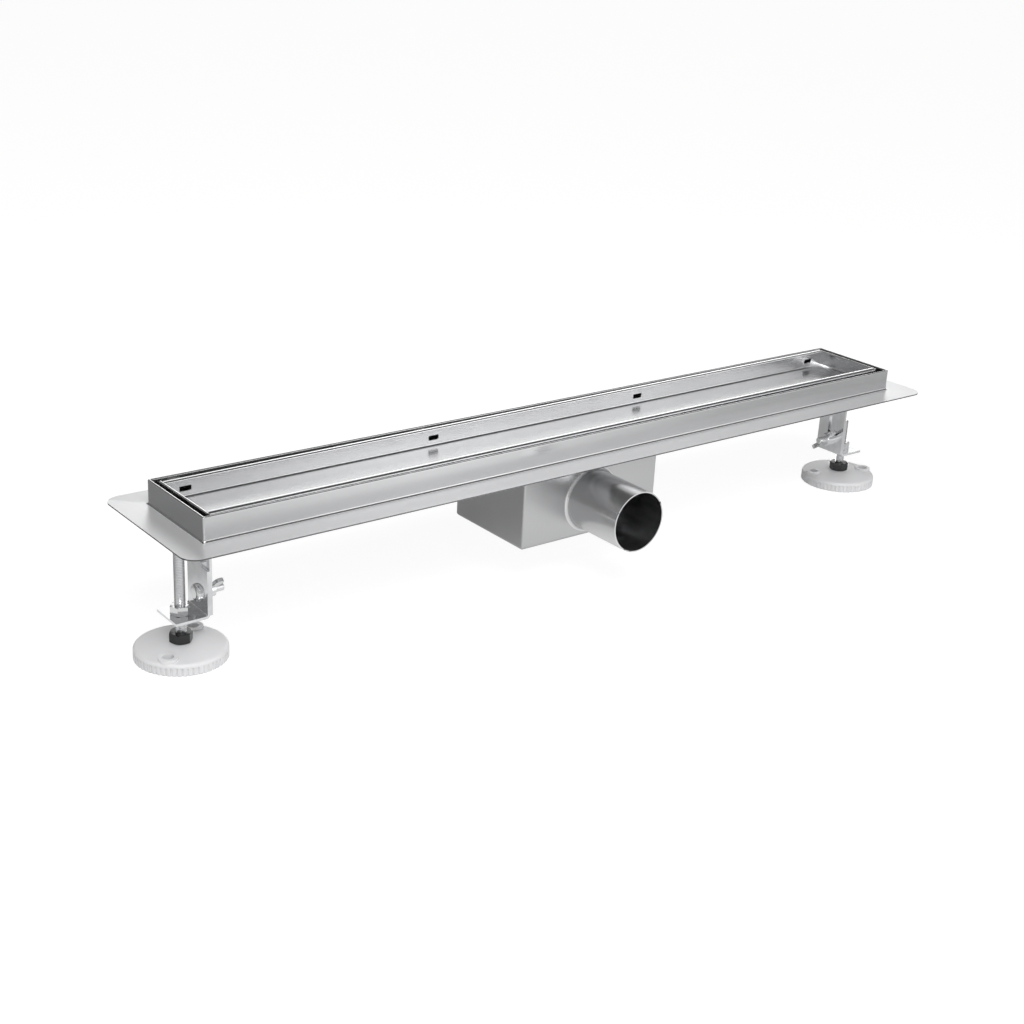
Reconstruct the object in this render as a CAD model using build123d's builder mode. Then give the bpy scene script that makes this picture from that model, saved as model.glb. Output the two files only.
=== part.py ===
from build123d import *

import os
from math import cos, radians, sin

os.makedirs("parts", exist_ok=True)

# Channel drain for a tiled floor, in millimetres.
# The origin lies on the floor, midway between the two feet. +X runs along the channel,
# +Z is up, and the outlet pipe faces -Y.

# Sheet and strip
sheet = 1.0                    # stainless sheet of the frame, trough, tray, box and pipe
strip = 2.0                    # plated strip of the hangers and the leg brackets

# Flanged frame
install_height = 121.5         # floor to the top of the rim, as set on the feet
channel_length = 700.0
channel_width = 84.0
rim_height = 18.5              # rim above the flange's upper face
rim_hem = 6.0                  # depth of the leaf folded down inside the rim
frame_corner = 1.6             # outer radius of the frame's welded corners
flange_side = 24.0
flange_end = 24.0
flange_corner = 12.0
flange_bend = 2.0              # outer radius where the wall turns into the flange
edge_share = 0.9               # how much of a sheet's thickness its folded edge is rounded by

# Trough pan under the frame
lip_overlap = 8.0              # lip under the flange, outside the wall
trough_inset = 10.0            # trough's inner end inside the channel's end
trough_width = 58.0
end_depth = 6.0                # trough floor below its ledge, at the ends
middle_depth = 10.5            # trough floor below its ledge, at the outlet
end_flat = 42.0                # level stretch over each hanger
outlet_hole = 50.0
outlet_flat = 8.0              # level rim round the outlet hole

# Trap box and outlet pipe
outlet_x = -6.0
trap_length = 138.0
trap_width = 88.0
trap_height = 65.0
trap_bend = 3.0                # outer radius of the box's lower folds
trap_corner = 1.4              # outer radius of its upright edges
outlet_diameter = 50.0
outlet_reach = 58.0            # pipe's mouth beyond the box's face
outlet_rise = 30.8             # pipe's axis above the box's underside
outlet_weld = 2.6              # size of the smoothed weld round the pipe's root

# Tile tray
tray_gap_end = 3.5             # tray to the frame's hem, were it in the middle
tray_gap_side = 4.5
tray_shift_x = 0.8             # the tray lies loose, a little off the frame's middle
tray_shift_y = 2.0
tray_turn = 0.3                # and a little askew, its right end towards the back
rim_step = 0.5                 # tray's rim below the frame's rim
tile_depth = 14.0              # tray's rim above its floor
tray_bend = 1.5                # inner radius between floor and wall
tray_hem = 4.0                 # depth of the rolled rims and of the folded ends
rim_roll = 4.9                 # width of each rolled rim, which hangs outside the wall
roll_proud = 0.4               # rolled rim's inner face in front of the wall below it
roll_round_in = 0.9            # middle radius of the roll's inner fold
roll_round_out = 1.8           # middle radius of its outer fold
tray_corner = 1.6
slot_count = 4
slot_inset = 19.0              # outer slots' middle inside the tray's end
slot_width = 9.5
slot_height = 4.0
slot_corner = 0.5
slot_drop = 7.7                # slot's middle below the tray's rim
spacer_count = 4
spacer_length = 12.0           # of each bridge, along the channel
spacer_bearing = 4.0           # how far a bridge rests on the ledge at each side
spacer_inset = 55.0            # outer bridges inside the trough's end
spacer_corner = 1.5

# Trap insert, cup, seal and strainer
seal_width = 2.6
seal_height = 1.5
insert_flange = 2.0
insert_wall = 2.0
insert_bore = 28.0
insert_drop = 20.0             # flange's underside to the cup's rim
rib_count = 3
rib_thickness = 2.0
rib_grip = 6.0                 # how far the ribs reach into the cup
rib_clearance = 0.12           # ribs inside the cup's wall
cup_floor_gap = 8.0            # cup above the box's floor
cup_clearance = 0.8            # cup's wall inside the outlet hole
cup_round = 4.0                # outer radius of the cup's lower edge
dip_gap = 5.0                  # dip tube above the cup's floor
strainer_diameter = 52.0
strainer_height = 1.0
strainer_hole = 4.5
inner_ring_radius = 9.0
inner_ring_count = 6
outer_ring_radius = 16.5
outer_ring_count = 10
knob_diameter = 8.0
knob_height = 3.5
knob_round = 1.2

# Legs
rod_diameter = 8.0
rod_lengths = {"left": 77.0, "right": 58.0}
rod_clearance = 0.05
hanger_inset = 9.0             # hanger's outer face inside the trough's outer end
hanger_width = 30.0
hanger_leg = 22.0
strip_bend = 1.2               # inner radius of the folds in the strip
hanger_tail = 6.5              # metal below the hanger's slot
slot_clearance = 1.0           # hanger's slot wider than the bolt's square neck
neck_gap = 0.1                 # neck's corners to the slot's round ends, at the bolt's limits
travel_up = 18.0
travel_down = 1.5
bracket_width = 30.0
bracket_height = 38.4          # plate above the tab's upper face
bracket_setback = 14.0         # plate's outer face inboard of the rod's axis
tab_overhang = 10.8            # tab outboard of the rod's axis
notch_width = 8.0              # steps at the plate's upper corners
notch_height = 4.0
tab_hole = 9.0
bolt_rise = 12.9               # clamp bolt above the tab's upper face

# Clamp bolt, washer and wing nut
bolt_diameter = 6.0
bolt_length = 20.0
bolt_head = 13.6
bolt_head_height = 3.3
bolt_neck_length = 3.5
neck_clearance = 0.06          # neck's corners inside the bracket's round hole
bolt_clearance = 0.05
washer_diameter = 12.5
washer_height = 1.2
wing_span = 32.5
wing_height = 10.5
wing_hub = 12.0
wing_hub_height = 7.0
wing_hub_taper = 6.0
wing_thickness = 2.8
wing_lobe = 3.4                # radius of each rounded wing tip
wing_root = 2.3                # radius of each wing's foot, on the hub
wing_root_reach = 3.0          # foot's middle from the hub's axis
wing_angle = 45.0              # wings' slope, front end up
edge_round = 0.5
edge_search = 1.0              # how far outside a rectangle its own edges are looked for

# Bracket nut, foot hexagon and foot
nut_flats = 13.0
nut_height = 6.8
hexagon_flats = 15.0
hexagon_height = 7.5
hexagon_gap = 12.1             # hexagon to the underside of the bracket's tab
hexagon_turns = {"left": 49.5, "right": 1.0}
foot_diameter = 68.0
foot_edge = 9.0
foot_crown = 11.5
crown_flat = 20.0
foot_round = 2.6
edge_rib_count = 56
rib_groove = 0.8
rib_height = 6.0
boss_diameter = 14.4
boss_rise = 2.35               # bosses above the disc's edge
screw_spread = 52.0
screw_hole = 4.5
screw_head = 8.2
screw_head_depth = 5.0
socket_depth = 8.0
foot_turns = {"left": 43.0, "right": -21.0}

# Levels, from the rim down and from the floor up
flange_top = install_height - rim_height
ledge = flange_top - sheet
lip_bottom = ledge - sheet
end_floor = ledge - end_depth
middle_floor = ledge - middle_depth
trap_bottom = lip_bottom - trap_height
outlet_z = trap_bottom + outlet_rise
tray_rim = install_height - rim_step
tray_floor = tray_rim - tile_depth
tray_underside = tray_floor - sheet
hexagon_top = foot_crown + hexagon_height
tab_bottom = hexagon_top + hexagon_gap
tab_top = tab_bottom + strip
bolt_z = tab_top + bolt_rise
bracket_top = tab_top + bracket_height

# Hanger's slot: its round ends leave room for the neck's corners
hanger_slot = bolt_diameter + slot_clearance
neck_half = bolt_diameter / 2
neck_room = neck_half + neck_gap - ((hanger_slot / 2) ** 2 - neck_half ** 2) ** 0.5
slot_top = bolt_z + travel_up + neck_room + hanger_slot / 2
slot_bottom = bolt_z - travel_down - neck_room - hanger_slot / 2

# Plan sizes
inner_length = channel_length - 2 * sheet
inner_width = channel_width - 2 * sheet
flange_length = channel_length + 2 * flange_end
flange_width = channel_width + 2 * flange_side
trough_length = channel_length - 2 * trough_inset
plate_in = trough_length / 2 + sheet - hanger_inset
plate_out = plate_in + strip
rod_x = plate_out + bracket_setback
hanger_in = plate_in - strip
washer_in = hanger_in - washer_height

# Tile tray's own directions and walls
tray_length = inner_length - 2 * sheet - 2 * tray_gap_end
tray_width = inner_width - 2 * sheet - 2 * tray_gap_side
tray_along = Vector(cos(radians(tray_turn)), sin(radians(tray_turn)), 0)
tray_plane = Plane(origin=(tray_shift_x, tray_shift_y, 0), x_dir=tray_along, z_dir=(0, 0, 1))
tray_section = Plane(origin=tray_plane.origin, x_dir=tray_plane.y_dir, z_dir=tray_along)
tray_side = Plane(origin=tray_plane.origin, x_dir=tray_along, z_dir=-tray_plane.y_dir)
roll_inner = tray_width / 2 - rim_roll
pan_inner_width = 2 * (roll_inner + roll_proud)
pan_width = pan_inner_width + 2 * sheet
roll_length = tray_length - 4 * sheet
slot_pitch = (tray_length - 2 * slot_inset) / (slot_count - 1)
spacer_pitch = (trough_length - 2 * spacer_inset) / (spacer_count - 1)

SIDES = (("left", -1), ("right", 1))


def save(part, label):
    """Label one finished piece and write it to its own file."""
    part.label = label
    export_step(part, f"parts/{label}.step")


def at_level(shapes, z):
    """Edges that lie wholly at one height."""
    return shapes.filter_by_position(Axis.Z, z - 0.01, z + 0.01)


def within(shapes, length, width):
    """Edges whose middles lie on or just inside a rectangle about the origin."""
    reach_x = length / 2 + edge_search
    reach_y = width / 2 + edge_search
    return shapes.filter_by(
        lambda edge: abs(edge.center().X) < reach_x and abs(edge.center().Y) < reach_y
    )


def trough_outline(grow):
    """Side view of the trough: level ends, a fall each way and a level outlet."""
    end = trough_length / 2 + grow
    slope = trough_length / 2 - end_flat
    level = outlet_hole / 2 + outlet_flat
    Polyline(
        (-end, ledge),
        (-end, end_floor - grow),
        (-slope, end_floor - grow),
        (outlet_x - level, middle_floor - grow),
        (outlet_x + level, middle_floor - grow),
        (slope, end_floor - grow),
        (end, end_floor - grow),
        (end, ledge),
        close=True,
    )


# Flanged frame: flange, upright wall and hemmed rim, folded and welded as one
with BuildPart() as flanged_frame:
    with BuildSketch(Plane.XY.offset(ledge)):
        RectangleRounded(flange_length, flange_width, flange_corner)
    extrude(amount=sheet)
    with BuildSketch(Plane.XY.offset(ledge)):
        RectangleRounded(channel_length, channel_width, frame_corner)
    extrude(amount=install_height - ledge)
    with BuildSketch(Plane.XY.offset(ledge)):
        RectangleRounded(inner_length - 2 * sheet, inner_width - 2 * sheet, frame_corner - sheet)
    extrude(amount=install_height - ledge, mode=Mode.SUBTRACT)
    fillet(at_level(flanged_frame.edges(), install_height), edge_share * sheet)
    with BuildSketch(Plane.XY.offset(ledge)):
        RectangleRounded(inner_length, inner_width, frame_corner - sheet)
    extrude(amount=rim_height + sheet - rim_hem, mode=Mode.SUBTRACT)
    fillet(within(at_level(flanged_frame.edges(), flange_top), channel_length, channel_width),
           flange_bend)
    fillet(within(at_level(flanged_frame.edges(), ledge), channel_length, channel_width),
           flange_bend + edge_share * sheet)
save(flanged_frame.part, "flanged_frame")

# Trough pan: lip under the flange, and a floor that falls to the outlet hole
with BuildPart() as trough_pan:
    with BuildSketch(Plane.XY.offset(lip_bottom)):
        Rectangle(channel_length + 2 * lip_overlap, channel_width + 2 * lip_overlap)
    extrude(amount=sheet)
    with BuildSketch(Plane.XZ):
        with BuildLine():
            trough_outline(sheet)
        make_face()
    extrude(amount=trough_width / 2 + sheet, both=True)
    with BuildSketch(Plane.XZ):
        with BuildLine():
            trough_outline(0)
        make_face()
    extrude(amount=trough_width / 2, both=True, mode=Mode.SUBTRACT)
    with BuildSketch(Plane.XY.offset(middle_floor - 2 * sheet)):
        with Locations((outlet_x, 0)):
            Circle(outlet_hole / 2)
    extrude(amount=3 * sheet, mode=Mode.SUBTRACT)
save(trough_pan.part, "trough_pan")

# Trap box: open at the top, its end walls notched round the trough
with BuildPart() as trap_box:
    with BuildSketch(Plane.XY.offset(trap_bottom)):
        with Locations((outlet_x, 0)):
            Rectangle(trap_length, trap_width)
    extrude(amount=trap_height)
    fillet(trap_box.edges().filter_by(Axis.Z), trap_corner)
    fillet(trap_box.edges().filter_by(Axis.X).group_by(Axis.Z)[0], trap_bend)
    offset(amount=-sheet, openings=trap_box.faces().sort_by(Axis.Z)[-1])
    with BuildSketch(Plane.XZ):
        with BuildLine():
            trough_outline(sheet)
        make_face()
    extrude(amount=trough_width / 2 + sheet, both=True, mode=Mode.SUBTRACT)
    with BuildSketch(Plane.XZ.offset(trap_width / 2 - 2 * sheet)):
        with Locations((outlet_x, outlet_z)):
            Circle(outlet_diameter / 2 - sheet)
    extrude(amount=3 * sheet, mode=Mode.SUBTRACT)
save(trap_box.part, "trap_box")

# Outlet pipe, with the smoothed weld where it meets the box
outlet_root = (outlet_x, -trap_width / 2, outlet_z)
pipe_plane = Plane(origin=outlet_root, x_dir=(0, -1, 0), z_dir=(-1, 0, 0))
outlet_radius = outlet_diameter / 2
with BuildPart() as outlet_pipe:
    with BuildSketch(pipe_plane):
        with BuildLine():
            Polyline(
                (0, outlet_radius + outlet_weld),
                (0, outlet_radius - sheet),
                (outlet_reach, outlet_radius - sheet),
                (outlet_reach, outlet_radius),
                (outlet_weld, outlet_radius),
            )
            RadiusArc((outlet_weld, outlet_radius), (0, outlet_radius + outlet_weld), outlet_weld)
        make_face()
    revolve(axis=Axis(outlet_root, (0, -1, 0)))
save(outlet_pipe.part, "outlet_pipe")

def rolled_rim(side):
    """Section of one long rim: up the wall, over and down outside it, open underneath."""
    inner = side * (roll_inner + sheet / 2)
    outer = side * (tray_width / 2 - sheet / 2)
    top = tray_rim - sheet / 2
    bottom = tray_rim - tray_hem
    with BuildSketch(tray_section) as profile:
        with BuildLine():
            FilletPolyline((inner, bottom), (inner, top), (outer, top), (outer, bottom),
                           radius=(roll_round_in, roll_round_out))
        trace(line_width=sheet)
    return profile.sketch


# Tile tray: folded pan with rolled long rims, hemmed ends and slots through its long walls
with BuildPart() as tile_tray:
    with BuildSketch(tray_plane.offset(tray_underside)):
        RectangleRounded(tray_length, pan_width, tray_corner)
    extrude(amount=tile_depth + sheet - tray_hem + edge_round)
    with BuildSketch(tray_plane.offset(tray_rim - tray_hem)):
        Rectangle(tray_length, tray_width)
    extrude(amount=tray_hem)
    fillet(at_level(tile_tray.edges(), tray_rim).group_by(SortBy.LENGTH)[0], edge_share * sheet)
    with BuildSketch(tray_plane.offset(tray_rim - tray_hem)):
        Rectangle(roll_length, tray_width)
    extrude(amount=tray_hem, mode=Mode.SUBTRACT)
    fillet(at_level(tile_tray.edges(), tray_rim).group_by(SortBy.LENGTH)[-1], edge_share * sheet)
    for turn in (-1, 1):
        extrude(rolled_rim(turn), amount=roll_length / 2, both=True)
    with BuildSketch(tray_plane.offset(tray_floor)):
        RectangleRounded(tray_length - 2 * sheet, pan_inner_width, tray_corner - sheet)
    extrude(amount=tile_depth - tray_hem, mode=Mode.SUBTRACT)
    fillet(at_level(tile_tray.edges(), tray_floor), tray_bend)
    fillet(at_level(tile_tray.edges(), tray_underside), tray_bend + sheet)
    with BuildSketch(tray_side):
        with Locations((-tray_shift_x, tray_rim - slot_drop)):
            with GridLocations(slot_pitch, 0, slot_count, 1):
                RectangleRounded(slot_width, slot_height, slot_corner)
    extrude(amount=tray_width, both=True, mode=Mode.SUBTRACT)
save(tile_tray.part, "tile_tray")

# Bridges that carry the tray over the trough
with BuildPart() as tray_spacers:
    with BuildSketch(Plane.XY.offset(ledge)):
        with GridLocations(spacer_pitch, 0, spacer_count, 1):
            RectangleRounded(spacer_length, trough_width + 2 * spacer_bearing, spacer_corner)
    extrude(amount=tray_underside - ledge)
save(tray_spacers.part, "tray_spacers")

# Flat seal round the outlet hole
seal_radius = outlet_hole / 2 + seal_width
with BuildPart() as trap_seal:
    with BuildSketch(Plane.XY.offset(middle_floor)):
        with Locations((outlet_x, 0)):
            Circle(seal_radius)
            Circle(outlet_hole / 2, mode=Mode.SUBTRACT)
    extrude(amount=seal_height)
save(trap_seal.part, "trap_seal")

# Trap insert: seating flange, dip tube and the ribs that hold the cup
seat_level = middle_floor + seal_height
cup_rim = seat_level - insert_drop
cup_bottom = trap_bottom + sheet + cup_floor_gap
cup_radius = outlet_hole / 2 - cup_clearance
cup_bore = cup_radius - insert_wall
rib_reach = (cup_bore ** 2 - (rib_thickness / 2) ** 2) ** 0.5 - rib_clearance
dip_bottom = cup_bottom + insert_wall + dip_gap
with BuildPart() as trap_insert:
    with BuildSketch(Plane.XY.offset(seat_level)):
        with Locations((outlet_x, 0)):
            Circle(seal_radius)
    extrude(amount=insert_flange)
    with BuildSketch(Plane.XY.offset(dip_bottom)):
        with Locations((outlet_x, 0)):
            Circle(insert_bore / 2 + insert_wall)
    extrude(amount=seat_level - dip_bottom)
    with BuildSketch(Plane.XY.offset(cup_rim)):
        with Locations((outlet_x, 0)):
            with PolarLocations(cup_radius / 2, rib_count):
                Rectangle(cup_radius, rib_thickness)
    extrude(amount=insert_drop)
    with BuildSketch(Plane.XY.offset(cup_rim - rib_grip)):
        with Locations((outlet_x, 0)):
            with PolarLocations(rib_reach / 2, rib_count):
                Rectangle(rib_reach, rib_thickness)
    extrude(amount=rib_grip)
    with BuildSketch(Plane.XY.offset(dip_bottom)):
        with Locations((outlet_x, 0)):
            Circle(insert_bore / 2)
    extrude(amount=seat_level + insert_flange - dip_bottom, mode=Mode.SUBTRACT)
save(trap_insert.part, "trap_insert")

# Trap cup, held by the insert's ribs
with BuildPart() as trap_cup:
    with BuildSketch(Plane.XY.offset(cup_bottom)):
        with Locations((outlet_x, 0)):
            Circle(cup_radius)
    extrude(amount=cup_rim - cup_bottom)
    fillet(at_level(trap_cup.edges(), cup_bottom), cup_round)
    with BuildSketch(Plane.XY.offset(cup_bottom + insert_wall)):
        with Locations((outlet_x, 0)):
            Circle(cup_bore)
    extrude(amount=cup_rim - cup_bottom - insert_wall, mode=Mode.SUBTRACT)
    fillet(at_level(trap_cup.edges(), cup_bottom + insert_wall), cup_round - insert_wall)
save(trap_cup.part, "trap_cup")

# Hair strainer on the insert's flange, with a knob to lift it by
strainer_level = seat_level + insert_flange
with BuildPart() as hair_strainer:
    with BuildSketch(Plane.XY.offset(strainer_level)):
        with Locations((outlet_x, 0)):
            Circle(strainer_diameter / 2)
            with PolarLocations(inner_ring_radius, inner_ring_count):
                Circle(strainer_hole / 2, mode=Mode.SUBTRACT)
            with PolarLocations(outer_ring_radius, outer_ring_count):
                Circle(strainer_hole / 2, mode=Mode.SUBTRACT)
    extrude(amount=strainer_height)
    with BuildSketch(Plane.XY.offset(strainer_level + strainer_height)):
        with Locations((outlet_x, 0)):
            Circle(knob_diameter / 2)
    extrude(amount=knob_height)
    fillet(at_level(hair_strainer.edges(), strainer_level + strainer_height + knob_height),
           knob_round)
save(hair_strainer.part, "hair_strainer")


def folded_strip(first, corner, last):
    """Side view of a strip with one fold, drawn along its middle line."""
    with BuildSketch(Plane.XZ) as profile:
        with BuildLine():
            FilletPolyline(first, corner, last, radius=strip_bend + strip / 2)
        trace(line_width=strip)
    return profile.sketch


def hanger(side):
    """Slotted leaf whose short leg is welded under the trough's level end."""
    leaf_x = side * (hanger_in + strip / 2)
    leg_z = end_floor - sheet - strip / 2
    profile = folded_strip(
        (leaf_x - side * hanger_leg, leg_z),
        (leaf_x, leg_z),
        (leaf_x, slot_bottom - hanger_tail),
    )
    with BuildPart() as leaf:
        extrude(profile, amount=hanger_width / 2, both=True)
        with BuildSketch(Plane.YZ.offset(leaf_x)):
            with Locations((0, (slot_top + slot_bottom) / 2)):
                SlotOverall(slot_top - slot_bottom, hanger_slot, rotation=90)
        extrude(amount=strip, both=True, mode=Mode.SUBTRACT)
    return leaf.part


def leg_bracket(side):
    """L bracket: an upright plate with stepped corners, and a tab for the rod."""
    plate_x = side * (plate_in + strip / 2)
    tab_z = tab_bottom + strip / 2
    tab_end = side * (rod_x + tab_overhang)
    neck_radius = bolt_diameter / 2 ** 0.5 + neck_clearance
    profile = folded_strip((plate_x, bracket_top), (plate_x, tab_z), (tab_end, tab_z))
    with BuildPart() as bracket:
        extrude(profile, amount=bracket_width / 2, both=True)
        with BuildSketch(Plane.YZ.offset(plate_x)):
            with Locations((0, bracket_top)):
                with GridLocations(bracket_width, 0, 2, 1):
                    Rectangle(2 * notch_width, 2 * notch_height)
            with Locations((0, bolt_z)):
                Circle(neck_radius)
        extrude(amount=strip, both=True, mode=Mode.SUBTRACT)
        with BuildSketch(Plane.XY.offset(tab_bottom)):
            with Locations((side * rod_x, 0)):
                Circle(tab_hole / 2)
        extrude(amount=strip, mode=Mode.SUBTRACT)
    return bracket.part


def clamp_bolt(side):
    """Mushroom head outside the bracket, square neck in the hanger's slot, plain shank."""
    head_plane = Plane(origin=(side * plate_out, 0, bolt_z), x_dir=(0, 1, 0), z_dir=(side, 0, 0))
    tail_plane = Plane(origin=(side * plate_out, 0, bolt_z), x_dir=(0, 1, 0), z_dir=(-side, 0, 0))
    with BuildPart() as bolt:
        with BuildSketch(head_plane):
            Circle(bolt_head / 2)
        extrude(amount=bolt_head_height)
        fillet(bolt.faces().sort_by(Axis.X)[-1 if side > 0 else 0].edges(),
               edge_share * bolt_head_height)
        with BuildSketch(tail_plane):
            Rectangle(bolt_diameter, bolt_diameter)
        extrude(amount=bolt_neck_length)
        with BuildSketch(tail_plane):
            Circle(bolt_diameter / 2)
        extrude(amount=bolt_length)
        chamfer(bolt.faces().sort_by(Axis.X)[0 if side > 0 else -1].edges(), edge_round)
    return bolt.part


def clamp_washer(side):
    """Washer between the hanger and the wing nut."""
    washer_plane = Plane(origin=(side * hanger_in, 0, bolt_z), x_dir=(0, 1, 0),
                         z_dir=(-side, 0, 0))
    with BuildPart() as washer:
        with BuildSketch(washer_plane):
            Circle(washer_diameter / 2)
            Circle(bolt_diameter / 2 + bolt_clearance, mode=Mode.SUBTRACT)
        extrude(amount=washer_height)
    return washer.part


def wing_nut(side):
    """Tapered hub with two rounded wings that rise away from the washer."""
    base = (side * washer_in, 0, bolt_z)
    wing_direction = Vector(0, -cos(radians(wing_angle)), sin(radians(wing_angle)))
    hub_plane = Plane(origin=base, x_dir=wing_direction, z_dir=(-side, 0, 0))
    wing_plane = Plane(origin=base, x_dir=wing_direction,
                       z_dir=wing_direction.cross(Vector(-side, 0, 0)))
    tip_x = wing_span / 2 - wing_lobe
    tip_y = wing_height - wing_lobe
    with BuildPart() as nut:
        with BuildSketch(hub_plane):
            Circle(wing_hub / 2)
        extrude(amount=wing_hub_height, taper=wing_hub_taper)
        for turn in (-1, 1):
            with BuildSketch(wing_plane):
                with Locations((turn * tip_x, tip_y)):
                    Circle(wing_lobe)
                with Locations((turn * wing_root_reach, wing_root + edge_round)):
                    Circle(wing_root)
                make_hull()
            extrude(amount=wing_thickness / 2, both=True)
        with BuildSketch(hub_plane):
            Circle(bolt_diameter / 2 + bolt_clearance)
        extrude(amount=wing_height, mode=Mode.SUBTRACT)
    return nut.part


def hexagon_on_rod(side, turn, bottom, flats, height):
    """Hexagon nut round the rod, its corners bevelled above and below."""
    with BuildPart() as nut:
        with BuildSketch(Plane.XY.offset(bottom)):
            with Locations((side * rod_x, 0)):
                RegularPolygon(flats / 2, 6, major_radius=False, rotation=turn)
        extrude(amount=height)
        corner_radius = flats / 3 ** 0.5
        with BuildSketch(Plane.XZ):
            with BuildLine():
                bevel = corner_radius - flats / 2
                Polyline(
                    (side * rod_x, bottom),
                    (side * rod_x + flats / 2, bottom),
                    (side * rod_x + corner_radius, bottom + bevel / 2),
                    (side * rod_x + corner_radius, bottom + height - bevel / 2),
                    (side * rod_x + flats / 2, bottom + height),
                    (side * rod_x, bottom + height),
                    close=True,
                )
            make_face()
        revolve(axis=Axis((side * rod_x, 0, 0), (0, 0, 1)), mode=Mode.INTERSECT)
        with BuildSketch(Plane.XY.offset(bottom)):
            with Locations((side * rod_x, 0)):
                Circle(rod_diameter / 2 + rod_clearance)
        extrude(amount=height, mode=Mode.SUBTRACT)
    return nut.part


def threaded_rod(side, length):
    """Adjusting rod, standing in the foot's socket."""
    rod_bottom = foot_crown - socket_depth
    with BuildPart() as rod:
        with BuildSketch(Plane.XY.offset(rod_bottom)):
            with Locations((side * rod_x, 0)):
                Circle(rod_diameter / 2)
        extrude(amount=length)
        chamfer(at_level(rod.edges(), rod_bottom + length), edge_round)
    return rod.part


def foot_disc(side, turn):
    """Moulded foot: domed top, ribbed edge, two screw bosses and a socket for the rod."""
    radius = foot_diameter / 2
    axis = Axis((side * rod_x, 0, 0), (0, 0, 1))
    foot_plane = Plane(origin=(side * rod_x, 0, 0), z_dir=(0, 0, 1))
    with BuildPart() as foot:
        with BuildSketch(Plane(origin=(side * rod_x, 0, 0), x_dir=(1, 0, 0), z_dir=(0, -1, 0))):
            with BuildLine():
                Polyline((crown_flat / 2, foot_crown), (0, foot_crown), (0, 0), (radius, 0),
                         (radius, foot_edge - foot_round))
                RadiusArc((radius, foot_edge - foot_round), (radius - foot_round, foot_edge),
                          -foot_round)
                Line((radius - foot_round, foot_edge), (crown_flat / 2, foot_crown))
            make_face()
        revolve(axis=axis)
        with BuildSketch(foot_plane):
            with PolarLocations(radius, edge_rib_count):
                Circle(rib_groove)
        extrude(amount=rib_height, mode=Mode.SUBTRACT)
        with BuildSketch(foot_plane.offset(foot_edge / 2)):
            with PolarLocations(screw_spread / 2, 2, start_angle=turn):
                Circle(boss_diameter / 2)
        boss_top = foot_edge + boss_rise
        extrude(amount=boss_top - foot_edge / 2)
        with BuildSketch(foot_plane):
            with PolarLocations(screw_spread / 2, 2, start_angle=turn):
                Circle(screw_hole / 2)
        extrude(amount=boss_top, mode=Mode.SUBTRACT)
        with BuildSketch(foot_plane.offset(boss_top - screw_head_depth)):
            with PolarLocations(screw_spread / 2, 2, start_angle=turn):
                Circle(screw_head / 2)
        extrude(amount=screw_head_depth, mode=Mode.SUBTRACT)
        with BuildSketch(foot_plane.offset(foot_crown - socket_depth)):
            Circle(rod_diameter / 2 + rod_clearance)
        extrude(amount=socket_depth, mode=Mode.SUBTRACT)
    return foot.part


for name, side in SIDES:
    save(hanger(side), f"{name}_hanger")
    save(leg_bracket(side), f"{name}_leg_bracket")
    save(clamp_bolt(side), f"{name}_clamp_bolt")
    save(clamp_washer(side), f"{name}_clamp_washer")
    save(wing_nut(side), f"{name}_wing_nut")
    turn = hexagon_turns[name]
    save(hexagon_on_rod(side, turn, tab_top, nut_flats, nut_height), f"{name}_bracket_nut")
    save(hexagon_on_rod(side, turn, foot_crown, hexagon_flats, hexagon_height),
         f"{name}_foot_nut")
    save(threaded_rod(side, rod_lengths[name]), f"{name}_threaded_rod")
    save(foot_disc(side, foot_turns[name]), f"{name}_foot_disc")
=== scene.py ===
"""Channel drain: its finishes, the threads of its rods, and a pale studio.

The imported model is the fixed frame. Its folded sheets, trap, brackets, fasteners and feet
keep their own meshes, and get smooth folds and finishes here. Only the threaded rods are
modelled again, with their true thread, each in the place that the frame gives.
"""
import logging
from dataclasses import dataclass
from enum import Enum
from math import ceil, cos, pi, radians, sin

import bmesh
import bpy
from mathutils import Matrix, Vector


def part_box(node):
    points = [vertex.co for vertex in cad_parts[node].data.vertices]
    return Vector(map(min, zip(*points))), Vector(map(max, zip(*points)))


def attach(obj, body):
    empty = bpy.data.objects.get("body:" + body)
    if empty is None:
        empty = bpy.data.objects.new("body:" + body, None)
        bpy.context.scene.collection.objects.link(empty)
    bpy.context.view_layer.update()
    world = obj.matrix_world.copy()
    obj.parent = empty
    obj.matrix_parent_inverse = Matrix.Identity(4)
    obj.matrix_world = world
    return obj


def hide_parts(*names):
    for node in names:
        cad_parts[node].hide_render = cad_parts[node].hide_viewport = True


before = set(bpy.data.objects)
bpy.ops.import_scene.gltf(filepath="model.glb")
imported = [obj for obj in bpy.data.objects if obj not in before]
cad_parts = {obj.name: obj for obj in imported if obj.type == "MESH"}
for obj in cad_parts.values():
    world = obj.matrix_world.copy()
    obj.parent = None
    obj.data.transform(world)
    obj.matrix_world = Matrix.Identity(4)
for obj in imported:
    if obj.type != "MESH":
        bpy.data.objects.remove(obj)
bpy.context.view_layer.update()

LOG = logging.getLogger("channel_drain")
MM = 0.001
WELD = 0.001 * MM              # points nearer than this are one point
QUARTER_TURN = 0.25            # of the gloss, so that it spreads across the brushing lines

Triple = tuple[float, float, float]
Socket = bpy.types.NodeSocket


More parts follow.
